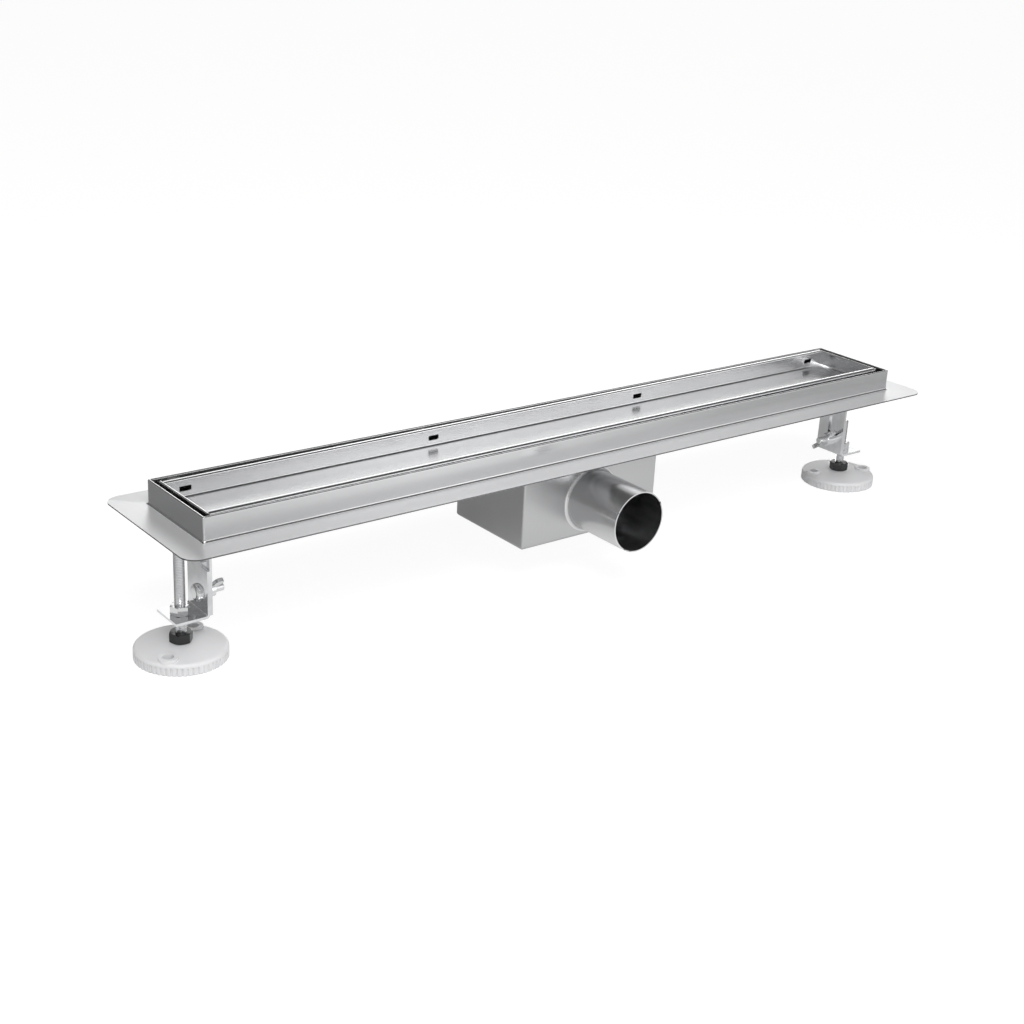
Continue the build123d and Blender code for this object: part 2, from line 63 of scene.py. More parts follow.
class Grain(Enum):
    """Brushing lines: their count for each metre along X, Y and Z, and the way they run.

    The way is tipped a little, so that faces square to it have one too.
    """

    LENGTHWISE = ((22.0, 2600.0, 2600.0), (1.0, 0.02, 0.0))
    CROSSWISE = ((2600.0, 22.0, 2600.0), (0.02, 1.0, 0.0))
    ROUND = ((60.0, 2600.0, 60.0), (0.0, 1.0, 0.0))
    UPRIGHT = ((2600.0, 2600.0, 30.0), (0.0, 0.02, 1.0))

    @property
    def counts(self) -> Triple:
        """Lines for each metre along X, Y and Z."""
        return self.value[0]

    @property
    def direction(self) -> Triple:
        """The way that the lines run, or the axis that they go round."""
        return self.value[1]


class Side(Enum):
    """The two ends of the channel, as node and body names have them."""

    LEFT = "left"
    RIGHT = "right"


class Board:
    """Adds and joins the nodes of one shader tree."""

    def __init__(self, tree: bpy.types.NodeTree) -> None:
        """Empty the tree.

        Args:
            tree: The node tree of a material or a world.
        """
        self.tree = tree
        self.tree.nodes.clear()

    def node(self, kind: str) -> bpy.types.Node:
        """Add a node of one kind."""
        return self.tree.nodes.new(kind)

    def join(self, source: Socket, target: Socket) -> None:
        """Link one socket to another."""
        self.tree.links.new(source, target)

    def parts(self, vector: Socket) -> bpy.types.NodeOutputs:
        """Split a vector into X, Y and Z.

        Args:
            vector: The vector.

        Returns:
            Its three parts, by axis name.
        """
        node = self.node("ShaderNodeSeparateXYZ")
        self.join(vector, node.inputs["Vector"])
        return node.outputs

    def fixed(self, numbers: Triple) -> Socket:
        """A vector that is the same everywhere.

        Args:
            numbers: Its X, Y and Z.

        Returns:
            The vector.
        """
        node = self.node("ShaderNodeCombineXYZ")
        for axis, number in zip("XYZ", numbers):
            node.inputs[axis].default_value = number
        return node.outputs["Vector"]

    def reckon(self, operation: str, vector: Socket,
               second: Triple | Vector | None = None) -> bpy.types.Node:
        """One vector operation.

        Args:
            operation: What is done to the vector.
            vector: The vector.
            second: A fixed second vector, where the operation takes one.

        Returns:
            The node, which has the result.
        """
        node = self.node("ShaderNodeVectorMath")
        node.operation = operation
        if second is not None:
            node.inputs[1].default_value = second
        self.join(vector, node.inputs[0])
        return node

    def ranged(self, value: Socket, low: float, high: float, start: float = 0.25,
               end: float = 0.75, easing: str = "LINEAR") -> Socket:
        """Map a value from start..end to low..high, held at its ends.

        Args:
            value: The value. Noise lies mostly between the default start and end.
            low: The result at start and before it.
            high: The result at end and past it.
            start: Where the change starts.
            end: Where the change ends.
            easing: How it runs between them.

        Returns:
            The mapped value.
        """
        node = self.node("ShaderNodeMapRange")
        node.interpolation_type = easing
        numbers = {"From Min": start, "From Max": end, "To Min": low, "To Max": high}
        for socket, number in numbers.items():
            node.inputs[socket].default_value = number
        self.join(value, node.inputs["Value"])
        return node.outputs["Result"]

    def picked(self, mask: Socket, off: float, on: float) -> Socket:
        """One number where the mask is 0 and another where it is 1."""
        return self.ranged(mask, off, on, 0.0, 1.0)

    def pair(self, operation: str, first: Socket, second: Socket) -> Socket:
        """One arithmetic operation on two values.

        Args:
            operation: What is done.
            first: The first value.
            second: The second value.

        Returns:
            The result.
        """
        node = self.node("ShaderNodeMath")
        node.operation = operation
        self.join(first, node.inputs[0])
        self.join(second, node.inputs[1])
        return node.outputs["Value"]

    def step(self, value: Socket, operation: str, limit: float = 0.0) -> Socket:
        """One arithmetic operation on a value.

        Args:
            value: The value.
            operation: What is done.
            limit: A fixed second number, where the operation takes one.

        Returns:
            The result.
        """
        node = self.node("ShaderNodeMath")
        node.operation = operation
        node.inputs[1].default_value = limit
        self.join(value, node.inputs[0])
        return node.outputs["Value"]

    def chosen(self, mask: Socket, first: Socket, second: Socket) -> Socket:
        """Choose between two vectors.

        Args:
            mask: From 0 to 1.
            first: The vector where the mask is 0.
            second: The vector where the mask is 1.

        Returns:
            The chosen vector.
        """
        node = self.node("ShaderNodeMix")
        node.data_type = "VECTOR"
        sockets = {socket.identifier: socket for socket in (*node.inputs, *node.outputs)}
        self.join(mask, sockets["Factor_Float"])
        self.join(first, sockets["A_Vector"])
        self.join(second, sockets["B_Vector"])
        return sockets["Result_Vector"]


class MaterialBoard(Board):
    """The nodes of one material, round a principled shader."""

    def __init__(self, name: str) -> None:
        """Start a material that holds the shader alone.

        Args:
            name: The material's name.
        """
        self.material = bpy.data.materials.new(name)
        self.material.use_nodes = True
        super().__init__(self.material.node_tree)
        self.output = self.node("ShaderNodeOutputMaterial")
        self.shader = self.node("ShaderNodeBsdfPrincipled")
        self.join(self.shader.outputs["BSDF"], self.output.inputs["Surface"])
        self.coordinates = self.node("ShaderNodeTexCoord").outputs["Object"]

    def setting(self, socket: str, value: float | tuple[float, ...]) -> None:
        """Set a value that is the same all over the surface."""
        self.shader.inputs[socket].default_value = value

    def varied(self, socket: str, value: Socket) -> None:
        """Let a value that changes over the surface into the shader."""
        self.join(value, self.shader.inputs[socket])

    def noise(self, counts: Triple, detail: float = 3.0, rough: float = 0.55) -> Socket:
        """Fractal noise from 0 to 1.

        Args:
            counts: Patches for each metre along X, Y and Z.
            detail: Octaves of finer noise.
            rough: Weight of those octaves.

        Returns:
            The noise value.
        """
        mapping = self.node("ShaderNodeMapping")
        mapping.inputs["Scale"].default_value = counts
        self.join(self.coordinates, mapping.inputs["Vector"])
        node = self.node("ShaderNodeTexNoise")
        for socket, number in (("Scale", 1.0), ("Detail", detail), ("Roughness", rough)):
            node.inputs[socket].default_value = number
        self.join(mapping.outputs["Vector"], node.inputs["Vector"])
        return node.outputs["Fac"]

    def tinted(self, value: Socket, dark: Triple, light: Triple) -> None:
        """Colour the surface between two tones.

        Args:
            value: From 0, dark, to 1, light.
            dark: The darker colour.
            light: The lighter colour.
        """
        ramp = self.node("ShaderNodeValToRGB")
        for element, colour in zip(ramp.color_ramp.elements, (dark, light)):
            element.color = (*colour, 1.0)
        self.join(value, ramp.inputs["Fac"])
        self.varied("Base Color", ramp.outputs["Color"])

    def shade(self, mask: Socket, share: float) -> None:
        """Multiply the colour so far by a share on some faces.

        Args:
            mask: 1 on those faces and 0 elsewhere.
            share: What the colour is multiplied by there.
        """
        scaled = self.reckon("SCALE", self.shader.inputs["Base Color"].links[0].from_socket)
        self.join(self.picked(mask, 1.0, share), scaled.inputs["Scale"])
        self.varied("Base Color", scaled.outputs["Vector"])

    def facing(self, axis: str, operation: str, limit: float) -> Socket:
        """Find faces by how nearly they face along an axis, either way.

        Args:
            axis: X, Y or Z.
            operation: How that share of a face's normal is compared.
            limit: What it is compared with, from 0 to 1.

        Returns:
            1 on such faces and 0 elsewhere.
        """
        normal = self.parts(self.node("ShaderNodeNewGeometry").outputs["Normal"])
        return self.step(self.step(normal[axis], "ABSOLUTE"), operation, limit)

    def past_wall(self, half_x: float, half_y: float, operation: str) -> list[Socket]:
        """Compare how far out a point lies with a wall, along X and along Y.

        Args:
            half_x: Half the wall's length.
            half_y: Half the wall's width.
            operation: How the distances from the middle are compared.

        Returns:
            The two results.
        """
        place = self.parts(self.coordinates)
        return [self.step(self.step(place[axis], "ABSOLUTE"), operation, half)
                for axis, half in (("X", half_x), ("Y", half_y))]

    def flange(self, half_x: float, half_y: float, operation: str, limit: float) -> Socket:
        """Find a flange's faces, outside the wall, by how level they are.

        Args:
            half_x: Half the wall's length.
            half_y: Half the wall's width.
            operation: How the upward share of a face's normal is compared.
            limit: What it is compared with, from 0, upright, to 1, level.

        Returns:
            1 on such faces and 0 elsewhere.
        """
        outside = self.pair("MAXIMUM", *self.past_wall(half_x, half_y, "GREATER_THAN"))
        return self.pair("MULTIPLY", outside, self.facing("Z", operation, limit))

    def turn_at_mitres(self, half_x: float, half_y: float) -> Socket:
        """Turn patterns a quarter round on the end strips of a mitred frame.

        Args:
            half_x: Half the wall's length.
            half_y: Half the wall's width.

        Returns:
            1 on the end strips and 0 on the long ones.
        """
        ends = self.pair("GREATER_THAN", *self.past_wall(half_x, half_y, "SUBTRACT"))
        place = self.parts(self.coordinates)
        swapped = self.node("ShaderNodeCombineXYZ")
        for source, target in (("Y", "X"), ("X", "Y"), ("Z", "Z")):
            self.join(place[source], swapped.inputs[target])
        self.coordinates = self.chosen(ends, self.coordinates, swapped.outputs["Vector"])
        return ends

    def around(self, axis: Triple) -> None:
        """Lay the brushing round an axis, as on a tube polished on its rollers.

        Args:
            axis: The tube's direction.
        """
        normal = self.node("ShaderNodeNewGeometry").outputs["Normal"]
        self.varied("Tangent", self.reckon("CROSS_PRODUCT", normal, axis).outputs["Vector"])

    def along(self, direction: Triple) -> None:
        """Lay the brushing in one direction, from which gloss spreads crosswise."""
        self.varied("Tangent", self.fixed(direction))

    def relief(self, height: Socket, depth: float, strength: float = 1.0) -> None:
        """Bump the surface.

        Args:
            height: The pattern's height, from 0 to 1.
            depth: Depth of the relief in metres.
            strength: Share of the bump that shows.
        """
        bump = self.node("ShaderNodeBump")
        bump.inputs["Distance"].default_value = depth
        bump.inputs["Strength"].default_value = strength
        self.join(height, bump.inputs["Height"])
        self.varied("Normal", bump.outputs["Normal"])


def scaled(colour: Triple, share: float) -> Triple:
    """A colour made lighter or darker.

    Args:
        colour: Its red, green and blue.
        share: What each of them is multiplied by.

    Returns:
        The new colour.
    """
    return tuple(channel * share for channel in colour)


@dataclass(frozen=True)
class BrushedSheet:
    """Brushed stainless sheet with fine lines and a faint cloudy tone."""

    name: str
    grain: Grain
    tone: float = 0.56
    contrast: float = 0.06
    hue: Triple = (1.0, 1.004, 1.014)
    roughness: float = 0.21
    smoother: float = 0.05             # the least and most roughness, from the middle one
    rougher: float = 0.07
    spread: float = 0.6                # how much more the gloss spreads across the lines
    line_depth: float = 0.002 * MM
    fine_share: float = 0.6            # of the lines, the rest are broad
    broad_width: float = 5.0           # of the broad lines, in fine ones
    line_share: float = 0.6            # of the tone, the rest is cloud
    cloud_counts: Triple = (9.0, 26.0, 26.0)

    def lines(self, board: MaterialBoard) -> Socket:
        """Mix fine and broad brushing lines.

        Args:
            board: The material's nodes.

        Returns:
            Their height and tone, from 0 to 1.
        """
        fine = board.noise(self.grain.counts, detail=4.0, rough=0.6)
        broad = board.noise(tuple(count / self.broad_width for count in self.grain.counts))
        return board.pair("ADD", board.ranged(fine, 0.0, self.fine_share),
                          board.ranged(broad, 0.0, 1.0 - self.fine_share))

    def colour(self, board: MaterialBoard, lines: Socket) -> None:
        """Colour the sheet by its lines and a faint cloud.

        Args:
            board: The material's nodes.
            lines: The brushing lines.
        """
        cloud = board.noise(self.cloud_counts, detail=2.0)
        tone = board.pair("ADD", board.picked(lines, 0.0, self.line_share),
                          board.ranged(cloud, 0.0, 1.0 - self.line_share, 0.3, 0.7))
        board.tinted(tone, scaled(self.hue, self.tone * (1.0 - self.contrast)),
                     scaled(self.hue, self.tone * (1.0 + self.contrast)))

    def blur(self, board: MaterialBoard, lines: Socket) -> Socket:
        """How rough the sheet is, by its lines."""
        return board.picked(lines, self.roughness - self.smoother, self.roughness + self.rougher)

    def gloss(self, board: MaterialBoard, lines: Socket) -> None:
        """Give the sheet its relief and a metal gloss that spreads across the lines.

        Args:
            board: The material's nodes.
            lines: The brushing lines.
        """
        board.relief(lines, self.line_depth)
        lay = board.around if self.grain is Grain.ROUND else board.along
        lay(self.grain.direction)
        board.setting("Anisotropic", self.spread)
        board.setting("Anisotropic Rotation", QUARTER_TURN)
        board.setting("Metallic", 1.0)

    def build(self) -> bpy.types.Material:
        """Make the material.

        Returns:
            The finished material.
        """
        board = MaterialBoard(self.name)
        lines = self.lines(board)
        self.colour(board, lines)
        board.varied("Roughness", self.blur(board, lines))
        self.gloss(board, lines)
        return board.material


@dataclass(frozen=True)
class FlangedSheet(BrushedSheet):
    """Brushed sheet of a mitred frame, whose flange's level faces are made part matt and painted
    lighter: painted light from overhead.

    The walls at the ends, found by their normals along X, are painted darker: painted shade.
    """

    wall_reach: tuple[float, float] = (0.0, 0.0)   # half the wall's length and width
    upright_below: float = 0.3         # upward share of a normal on cut edges
    square_above: float = 0.9          # share of a normal on faces square to an axis
    # painted shade: the flange's upright cut edges' colour is multiplied by this
    cut_edge_painted_shade: float = 0.3
    # painted shade: the end walls' colour is multiplied by this
    end_wall_painted_shade: float = 0.68
    flange_painted_light: float = 1.5           # painted light: the flange's colour, from the sheet's
    flange_metal: float = 0.5          # share of its light that is a metal's gloss
    flange_blur: float = 0.12          # how much rougher it is

    def build(self) -> bpy.types.Material:
        """Make the material.

        Returns:
            The finished material.
        """
        board = MaterialBoard(self.name)
        cut = board.flange(*self.wall_reach, "LESS_THAN", self.upright_below)
        level = board.flange(*self.wall_reach, "GREATER_THAN", self.square_above)
        ends = board.turn_at_mitres(*self.wall_reach)
        lines = self.lines(board)
        self.colour(board, lines)
        # painted shade on the flange's upright cut edges
        board.shade(cut, self.cut_edge_painted_shade)
        # painted shade on the end walls, whose normals lie along X
        board.shade(board.facing("X", "GREATER_THAN", self.square_above), self.end_wall_painted_shade)
        # painted light on the flange's level faces
        board.shade(level, self.flange_painted_light)
        more_blur = board.picked(level, 0.0, self.flange_blur)
        board.varied("Roughness", board.pair("ADD", self.blur(board, lines), more_blur))
        self.gloss(board, lines)
        board.varied("Tangent", board.chosen(ends, board.fixed(self.grain.direction),
                                             board.fixed(Grain.CROSSWISE.direction)))
        board.varied("Metallic", board.picked(level, 1.0, self.flange_metal))
        return board.material


@dataclass(frozen=True)
class ZincPlate:
    """Bright zinc on pressed strip: a cool spangled tone with faint rolling lines."""

    name: str
    tone: float = 0.84
    roughness: float = 0.12
    smoother: float = 0.04
    rougher: float = 0.10
    spangle_counts: Triple = (160.0, 160.0, 160.0)
    rolling_counts: Triple = (900.0, 900.0, 60.0)
    spangle_share: float = 0.6         # of the pattern, the rest is rolling lines
    dark_gain: float = 0.86
    dark_hue: Triple = (1.0, 1.01, 1.03)
    light_gain: float = 1.08
    light_hue: Triple = (1.0, 1.005, 1.015)
    relief_depth: float = 0.02 * MM
    relief_strength: float = 0.5

    def build(self) -> bpy.types.Material:
        """Make the material.

        Returns:
            The finished material.
        """
        board = MaterialBoard(self.name)
        spangle = board.ranged(board.noise(self.spangle_counts), 0.0, self.spangle_share)
        rolling = board.ranged(board.noise(self.rolling_counts), 0.0, 1.0 - self.spangle_share)
        mixed = board.pair("ADD", spangle, rolling)
        board.tinted(mixed, scaled(self.dark_hue, self.tone * self.dark_gain),
                     scaled(self.light_hue, self.tone * self.light_gain))
        board.varied("Roughness", board.picked(mixed, self.roughness - self.smoother,
                                               self.roughness + self.rougher))
        board.relief(mixed, self.relief_depth, self.relief_strength)
        board.setting("Metallic", 1.0)
        return board.material


@dataclass(frozen=True)
class TurnedZinc:
    """Polished zinc on screws and nuts, with small handling marks."""

    name: str
    tone: float = 0.8
    roughness: float = 0.12
    smoother: float = 0.03
    rougher: float = 0.09
    mark_counts: Triple = (700.0, 700.0, 700.0)
    patch_counts: Triple = (130.0, 130.0, 130.0)
    mark_share: float = 0.5            # of the pattern, the rest is broader patches
    dark_gain: float = 0.88
    dark_hue: Triple = (1.0, 1.01, 1.02)
    light_gain: float = 1.06
    light_hue: Triple = (1.0, 1.0, 1.01)
    relief_depth: float = 0.006 * MM
    relief_strength: float = 0.5

    def build(self) -> bpy.types.Material:
        """Make the material.

        Returns:
            The finished material.
        """
        board = MaterialBoard(self.name)
        marks = board.noise(self.mark_counts, detail=4.0)
        patch = board.noise(self.patch_counts, detail=2.0)
        mixed = board.pair("ADD", board.ranged(marks, 0.0, self.mark_share),
                           board.ranged(patch, 0.0, 1.0 - self.mark_share))
        board.tinted(mixed, scaled(self.dark_hue, self.tone * self.dark_gain),
                     scaled(self.light_hue, self.tone * self.light_gain))
        board.varied("Roughness", board.picked(mixed, self.roughness - self.smoother,
                                               self.roughness + self.rougher))
        board.relief(marks, self.relief_depth, self.relief_strength)
        board.setting("Metallic", 1.0)
        return board.material


@dataclass(frozen=True)
class MilkyPlastic:
    """Natural polypropylene: milky, a little waxy, light passing into it."""

    name: str
    tone: Triple = (0.80, 0.80, 0.81)
    dark_gain: float = 0.94
    flow_counts: Triple = (45.0, 45.0, 90.0)
    pore_counts: Triple = (1500.0, 1500.0, 1500.0)
    roughness: tuple[float, float] = (0.36, 0.5)
    pore_depth: float = 0.01 * MM
    pore_strength: float = 0.4
    light_inside: float = 0.55         # share of the light that passes into it
    light_reach: Triple = (1.0, 0.95, 0.9)
    light_depth: float = 3.0 * MM
    refraction: float = 1.49

    def build(self) -> bpy.types.Material:
        """Make the material.

        Returns:
            The finished material.
        """
        board = MaterialBoard(self.name)
        pores = board.noise(self.pore_counts, detail=2.0)
        board.tinted(board.noise(self.flow_counts), scaled(self.tone, self.dark_gain), self.tone)
        board.varied("Roughness", board.ranged(pores, *self.roughness))
        board.relief(pores, self.pore_depth, self.pore_strength)
        board.setting("Subsurface Weight", self.light_inside)
        board.setting("Subsurface Radius", self.light_reach)
        board.setting("Subsurface Scale", self.light_depth)
        board.setting("IOR", self.refraction)
        return board.material


@dataclass(frozen=True)
class MattMoulding:
    """Moulded plastic or rubber with a fine matt skin."""

    name: str
    tone: Triple
    roughness: float
    smoother: float = 0.08
    rougher: float = 0.12
    dark_gain: float = 0.85
    skin_counts: Triple = (900.0, 900.0, 900.0)
    bloom_counts: Triple = (60.0, 60.0, 60.0)
    pore_depth: float = 0.015 * MM
    pore_strength: float = 0.6

    def build(self) -> bpy.types.Material:
        """Make the material.

        Returns:
            The finished material.
        """
        board = MaterialBoard(self.name)
        skin = board.noise(self.skin_counts)
        bloom = board.noise(self.bloom_counts, detail=2.0)
        board.tinted(bloom, scaled(self.tone, self.dark_gain), self.tone)
        board.varied("Roughness", board.ranged(skin, self.roughness - self.smoother,
                                               self.roughness + self.rougher))
        board.relief(skin, self.pore_depth, self.pore_strength)
        return board.material


class SmoothFolds:
    """Modifiers that weld a sheet's facets and smooth all but its true edges."""

    sharp_angle: float = 32.0          # folds above this many degrees stay sharp
    flat_weight: int = 100             # large flat faces alone set the shading beside folds

    def __init__(self, name: str) -> None:
        """Build the geometry node group.

        Args:
            name: The group's name.
        """
        self.group = bpy.data.node_groups.new(name, "GeometryNodeTree")
        for way in ("INPUT", "OUTPUT"):
            self.group.interface.new_socket("Geometry", in_out=way,
                                            socket_type="NodeSocketGeometry")
        nodes, links = self.group.nodes, self.group.links
        weld = nodes.new("GeometryNodeMergeByDistance")
        weld.inputs["Distance"].default_value = WELD
        smooth = nodes.new("GeometryNodeSetShadeSmooth")
        sharpen = nodes.new("GeometryNodeSetShadeSmooth")
        sharpen.domain = "EDGE"
        sharpen.inputs["Shade Smooth"].default_value = False
        angle = nodes.new("GeometryNodeInputMeshEdgeAngle")
        steep = nodes.new("FunctionNodeCompare")
        steep.inputs["B"].default_value = radians(self.sharp_angle)
        links.new(angle.outputs["Unsigned Angle"], steep.inputs["A"])
        links.new(steep.outputs["Result"], sharpen.inputs["Selection"])
        chain = (nodes.new("NodeGroupInput"), weld, smooth, sharpen, nodes.new("NodeGroupOutput"))
        for earlier, later in zip(chain, chain[1:]):
            links.new(earlier.outputs["Geometry"], later.inputs["Geometry"])

    def on(self, piece: bpy.types.Object) -> None:
        """Smooth one piece, and keep its flat faces flat beside the folds.

        Args:
            piece: The piece that gets the modifiers.
        """
        piece.modifiers.new("smooth_folds", "NODES").node_group = self.group
        flat = piece.modifiers.new("flat_faces", "WEIGHTED_NORMAL")
        flat.weight = self.flat_weight
        flat.keep_sharp = True


class Workshop:
    """Holds the finishes and dresses or adds pieces with them."""

    flange_margin: float = 23.0 * MM   # from the flange's edge to just outside the wall

    def __init__(self) -> None:
        """Build every finish once."""
        self.folds = SmoothFolds("smooth_folds")
        far_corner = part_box("flanged_frame")[1]
        wall = (far_corner[0] - self.flange_margin, far_corner[1] - self.flange_margin)
        self.sheet = FlangedSheet("brushed_sheet", Grain.LENGTHWISE, wall_reach=wall).build()
        self.tray = BrushedSheet("tray_sheet", Grain.LENGTHWISE, tone=0.66, spread=0.65).build()
        self.box = BrushedSheet("trap_sheet", Grain.UPRIGHT, tone=0.46, roughness=0.32).build()
        self.pipe = BrushedSheet("pipe_sheet", Grain.ROUND, tone=0.6, roughness=0.22, spread=0.5,
                                 line_depth=0.0005 * MM).build()
        self.strip = ZincPlate("zinc_strip_plate").build()
        self.hardware = TurnedZinc("turned_zinc").build()
        # painted reflection: the chromed foot nuts get a near-black tone for the dark
        # surroundings that they mirror
        self.hardware_painted_dark_reflection = TurnedZinc("chromed_hexagon_painted_dark_reflection", tone=0.07, roughness=0.07).build()
        self.foot = MilkyPlastic("milky_plastic").build()
        self.trap = MattMoulding("trap_moulding", (0.62, 0.63, 0.64), roughness=0.42).build()
        self.rubber = MattMoulding("black_rubber", (0.03, 0.03, 0.032), roughness=0.62).build()

    def dress(self, node: str, material: bpy.types.Material) -> None:
        """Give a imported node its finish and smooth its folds.

        Args:
            node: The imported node's name.
            material: The finish for every slot of it.
        """
        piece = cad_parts[node]
        if not piece.material_slots:
            piece.data.materials.append(material)
        for slot in piece.material_slots:
            slot.material = material
        self.folds.on(piece)
        LOG.info("dressed %s with %s", node, material.name)

    def add(self, form: bmesh.types.BMesh, name: str, body: str, slot: str,
            material: bpy.types.Material, stands_for: str) -> None:
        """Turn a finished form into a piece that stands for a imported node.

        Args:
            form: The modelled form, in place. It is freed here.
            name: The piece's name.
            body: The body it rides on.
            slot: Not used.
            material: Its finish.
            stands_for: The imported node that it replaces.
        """
        mesh = bpy.data.meshes.new(name)
        form.to_mesh(mesh)
        form.free()
        mesh.materials.append(material)
        piece = bpy.data.objects.new(name, mesh)
        bpy.context.scene.collection.objects.link(piece)
        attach(piece, body)
        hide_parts(stands_for)
        LOG.info("made %s on %s: %d faces", name, body, len(mesh.polygons))


@dataclass(frozen=True)
class Viewpoint:
    """The camera, at the photograph's place, with angles in degrees."""

    eye: Triple = (-818.5 * MM, -956.8 * MM, 541.6 * MM)
    heading: float = 51.2745           # of its view, from +X towards +Y
    dip: float = 21.8779               # of its view, below level
    lean: float = -3.0049              # about its view
    focal_pixels: float = 1626.96
    image_pixels: float = 1024.0
    sensor: float = 36.0               # width in Blender's millimetres
    nearest: float = 10.0 * MM

    def set(self) -> None:
        """Put the camera in place."""
        heading, dip, lean = radians(self.heading), radians(self.dip), radians(self.lean)
        ahead = Vector((cos(heading) * cos(dip), sin(heading) * cos(dip), -sin(dip)))
        level = Vector((sin(heading), -cos(heading), 0.0))
        down = ahead.cross(level)
        right = cos(lean) * level + sin(lean) * down
        below = cos(lean) * down - sin(lean) * level
        turn = Matrix((right, -below, -ahead)).transposed().to_4x4()
        lens = bpy.data.cameras.new("camera")
        lens.sensor_width = self.sensor
        lens.lens = self.focal_pixels / self.image_pixels * self.sensor
        lens.clip_start = self.nearest
        camera = bpy.data.objects.new("camera", lens)
        camera.matrix_world = Matrix.Translation(self.eye) @ turn
        bpy.context.scene.collection.objects.link(camera)
        bpy.context.scene.camera = camera


@dataclass(frozen=True)
class Wing:
    """A soft upright panel of the sky, with all angles in degrees.

    Its azimuth is its middle, from +X towards +Y. It has its full strength within inner of
    that and none beyond outer. Upwards it fades between the heights full_to and gone_at.
    """

    azimuth: float
    inner: float
    outer: float
    strength: float
    full_to: float
    gone_at: float

    def direction(self) -> Vector:
        """Level unit vector from the object to the panel."""
        return Vector((cos(radians(self.azimuth)), sin(radians(self.azimuth)), 0.0))


@dataclass(frozen=True)
class Sky:
    """Soft surroundings: a pale glow, darker overhead, with upright bright panels."""

    glow: float = 0.28
    overhead: float = 0.12
    overhead_from: float = 30.0        # heights in degrees where the glow turns to it
    overhead_full: float = 50.0
    wings: tuple[Wing, ...] = (
        Wing(52.0, 6.0, 17.0, 1.45, 30.0, 44.0),
        Wing(66.0, 2.0, 9.0, 0.5, 30.0, 44.0),
        Wing(47.0, 8.0, 20.0, 3.0, 12.0, 20.0),
        Wing(-52.5, 8.0, 18.0, 1.75, 27.0, 36.0),
        Wing(-54.7, 0.5, 4.0, 0.8, 27.0, 36.0),
        Wing(215.0, 45.0, 75.0, 0.4, 40.0, 65.0),
    )
    wing_foot: float = 4.0             # each rises from this much below level to above it
    backdrop: float = 1.25             # white to the camera, whose colour is 0.8

    def eased(self, board: Board, value: Socket, start: float, end: float, low: float,
              high: float) -> Socket:
        """Ease a value from start..end to low..high."""
        return board.ranged(value, low, high, start, end, "SMOOTHSTEP")

    def panel(self, board: Board, wing: Wing, height: Socket, bearing: Socket) -> Socket:
        """How bright one wing is in each direction.

        Args:
            board: The world's nodes.
            wing: The wing.
            height: Upward share of the direction.
            bearing: The direction's level part, of length 1.

        Returns:
            The brightness.
        """
        foot = sin(radians(self.wing_foot))
        rising = self.eased(board, height, -foot, foot, 0.0, 1.0)
        ending = self.eased(board, height, sin(radians(wing.full_to)), sin(radians(wing.gone_at)),
                            1.0, 0.0)
        facing = board.reckon("DOT_PRODUCT", bearing, wing.direction()).outputs["Value"]
        across = self.eased(board, facing, cos(radians(wing.outer)), cos(radians(wing.inner)),
                            0.0, wing.strength)
        return board.pair("MULTIPLY", across, board.pair("MULTIPLY", rising, ending))

    def hang(self) -> None:
        """Make the world."""
        world = bpy.data.worlds.new("studio")
        world.use_nodes = True
        bpy.context.scene.world = world
        board = Board(world.node_tree)
        direction = board.node("ShaderNodeTexCoord").outputs["Generated"]
        height = board.parts(direction)["Z"]
        level = board.reckon("MULTIPLY", direction, (1.0, 1.0, 0.0)).outputs["Vector"]
        bearing = board.reckon("NORMALIZE", level).outputs["Vector"]
        light = self.eased(board, height, sin(radians(self.overhead_from)),
                           sin(radians(self.overhead_full)), self.glow, self.overhead)
        for wing in self.wings:
            light = board.pair("ADD", light, self.panel(board, wing, height, bearing))
        strength = board.node("ShaderNodeMix")
        strength.inputs["B"].default_value = self.backdrop
        board.join(board.node("ShaderNodeLightPath").outputs["Is Camera Ray"],
                   strength.inputs["Factor"])
        board.join(light, strength.inputs["A"])
        background = board.node("ShaderNodeBackground")
        board.join(strength.outputs["Result"], background.inputs["Strength"])
        board.join(background.outputs["Background"],
                   board.node("ShaderNodeOutputWorld").inputs["Surface"])


@dataclass(frozen=True)
class Fade:
    """Where a brightness starts and stops changing, in metres, and its other level."""

    start: float
    end: float
    level: float


